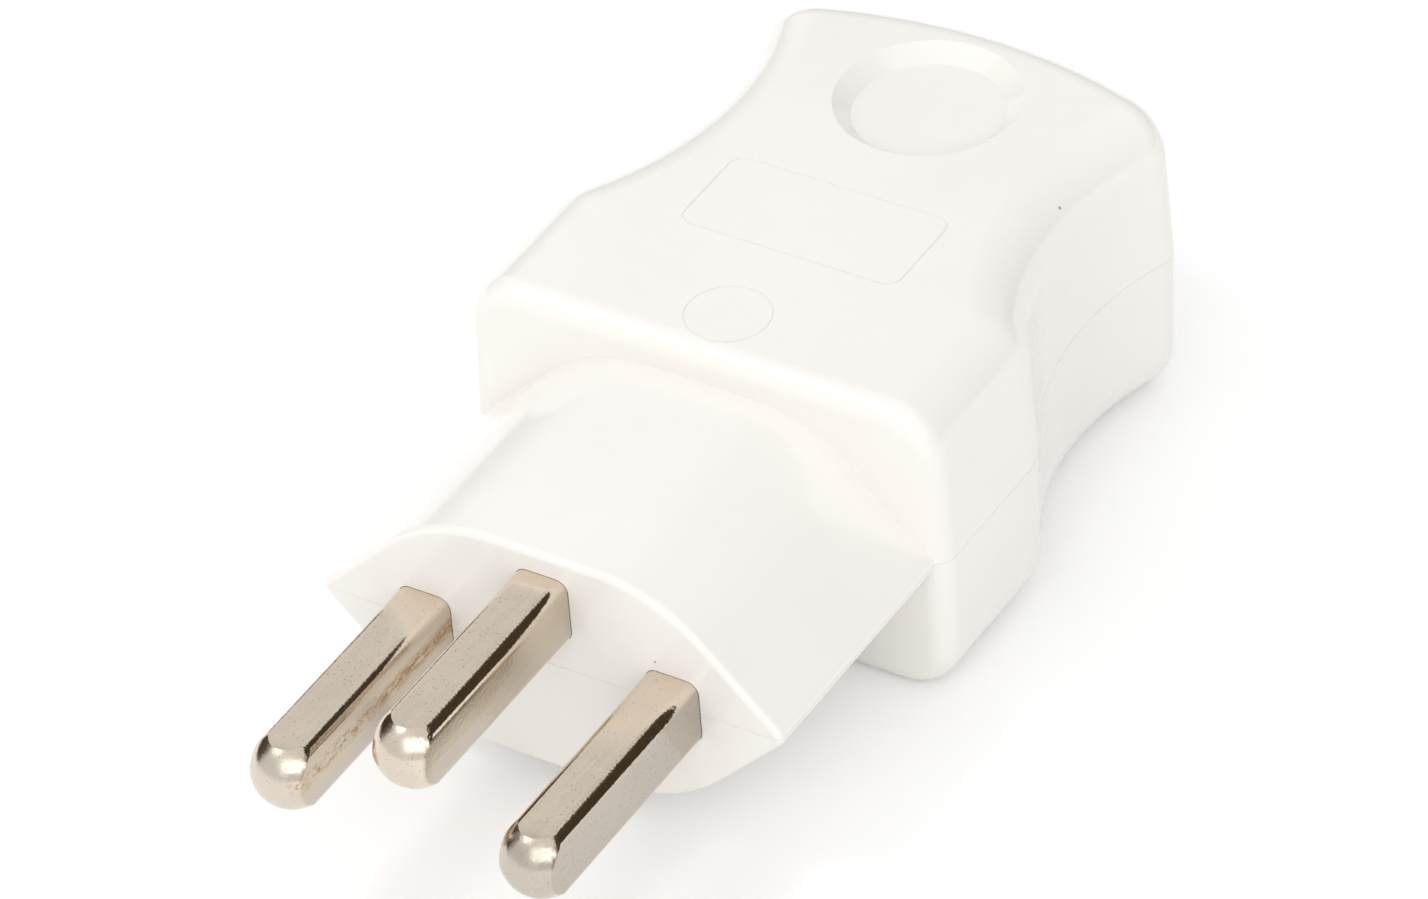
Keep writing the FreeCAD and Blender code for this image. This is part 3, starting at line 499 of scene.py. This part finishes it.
stained_plate = plate_pin("stained_plate", WORN_SIDE_SHADE_COLOUR, WASH_STRENGTH, 0.0)
tree = stained_plate.node_tree
shader = tree.nodes["Principled BSDF"]
pin_low, pin_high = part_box("neutral_pin")
stained_face = (pin_low[0] + pin_high[0]) / 2 + PIN_HALF_WIDTH
spot = own_xyz(tree)
above = remap(tree, spot["Z"], STAIN_LOW, STAIN_LOW + STAIN_SOFT, 0.0, 1.0)
below = remap(tree, spot["Z"], STAIN_HIGH - STAIN_SOFT, STAIN_HIGH, 1.0, 0.0)
face_starts, face_full = stained_face + STAIN_FACE_STARTS, stained_face + STAIN_FACE_FULL
on_side = remap(tree, spot["X"], face_starts, face_full, 0.0, 1.0)
along = remap(tree, spot["Y"], STAIN_TIP, STAIN_ROOT, 0.0, 1.0)
flecks = use_group(tree, streaks, {"Stretch": (1.0, 0.25, 1.0), "Scale": 3600.0})["Streak"]
grain = use_group(tree, clouds, {"Cloud Scale": 2600.0, "Ripple Scale": 11000.0})["Ripple"]
flecks = math_node(tree, "MULTIPLY", math_node(tree, "ADD", flecks, grain), 0.5)
flecks = math_node(tree, "MULTIPLY_ADD", along, STAIN_GAIN, flecks)
broken = remap(tree, flecks, FLECK_LOW, FLECK_HIGH, 0.0, STAIN_TONE)
band = math_node(tree, "MULTIPLY", above, below)
stain = math_node(tree, "MULTIPLY", math_node(tree, "MULTIPLY", band, on_side), broken)
plate_tone = shader.inputs["Base Color"].links[0].from_socket
plate_gloss = shader.inputs["Roughness"].links[0].from_socket
tree.links.new(mix_colour(tree, stain, plate_tone, STAIN_COLOUR), shader.inputs["Base Color"])
gloss = math_node(tree, "MULTIPLY_ADD", stain, STAIN_DULLING, plate_gloss)
tree.links.new(gloss, shader.inputs["Roughness"])
metal = math_node(tree, "MULTIPLY_ADD", stain, STAIN_LESS_METAL, 1.0)
tree.links.new(metal, shader.inputs["Metallic"])
print("finish:", stained_plate.name, "face at x =", round(MM_PER_M * stained_face, 2), "mm")

# %% [markdown]
# Screws of such plugs are zinc-plated steel: cooler and duller than the pins, with turning marks.

# %% Finish of the screws
ZINC_COLOUR = (0.58, 0.58, 0.57, 1.0)
ZINC_SHADE = (0.44, 0.44, 0.42, 1.0)
ZINC_GLOSS = (0.28, 0.46)
ZINC_BUMP = (0.10, 0.0001)

zinc_plate, tree, shader = new_finish("zinc_plate")
uneven = use_group(tree, clouds, {"Cloud Scale": 500.0, "Ripple Scale": 3000.0})
rubs = use_group(tree, streaks, {"Stretch": (1.0, 1.0, 0.05), "Scale": 3200.0})
tone = mix_colour(tree, uneven["Cloud"], ZINC_COLOUR, ZINC_SHADE)
tree.links.new(tone, shader.inputs["Base Color"])
gloss = remap(tree, rubs["Streak"], NOISE_LOW, NOISE_HIGH, *ZINC_GLOSS)
tree.links.new(gloss, shader.inputs["Roughness"])
shader.inputs["Metallic"].default_value = 1.0
raise_bump(tree, shader, uneven["Ripple"], *ZINC_BUMP)
print("finish:", zinc_plate.name)

# %% [markdown]
# The bridge that grips the cord is the same plastic, straight from the mould without polish.

# %% Finish of the cord clamp
CLAMP_COLOUR = (0.76, 0.745, 0.71, 1.0)
CLAMP_SHADE = (0.70, 0.685, 0.65, 1.0)
CLAMP_GLOSS = (0.42, 0.60)
CLAMP_BUMP = (0.20, 0.0001)

dull_moulding, tree, shader = new_finish("dull_moulding")
uneven = use_group(tree, clouds, {"Cloud Scale": 200.0, "Ripple Scale": 1800.0})
tone = mix_colour(tree, uneven["Cloud"], CLAMP_COLOUR, CLAMP_SHADE)
tree.links.new(tone, shader.inputs["Base Color"])
gloss = remap(tree, uneven["Ripple"], NOISE_LOW, NOISE_HIGH, *CLAMP_GLOSS)
tree.links.new(gloss, shader.inputs["Roughness"])
raise_bump(tree, shader, uneven["Ripple"], *CLAMP_BUMP)
print("finish:", dull_moulding.name)

# %% [markdown]
# Each solid of the frame has one material slot. The finish goes into that slot and the mesh stays as it came.

# %% Give each solid its finish
FINISHES = {
    "upper_shell": white_moulding,
    "lower_shell": white_moulding,
    "line_pin": nickel_plate,
    "neutral_pin": stained_plate,
    "earth_pin": worn_plate,
    "terminal_screws": zinc_plate,
    "clamp_screws": zinc_plate,
    "housing_screws": zinc_plate,
    "cord_clamp": dull_moulding,
}
for node_name, finish in FINISHES.items():
    for material_slot in nodes[node_name].material_slots:
        material_slot.material = finish
    low_corner = [round(MM_PER_M * side, 1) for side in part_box(node_name)[0]]
    print(node_name, "->", finish.name, "from", low_corner, "mm")

# %% [markdown]
# The tone curve stays plain, so a colour in the picture is the colour that was written.

# %% Set the tone curve
bpy.context.scene.view_settings.view_transform = "Standard"
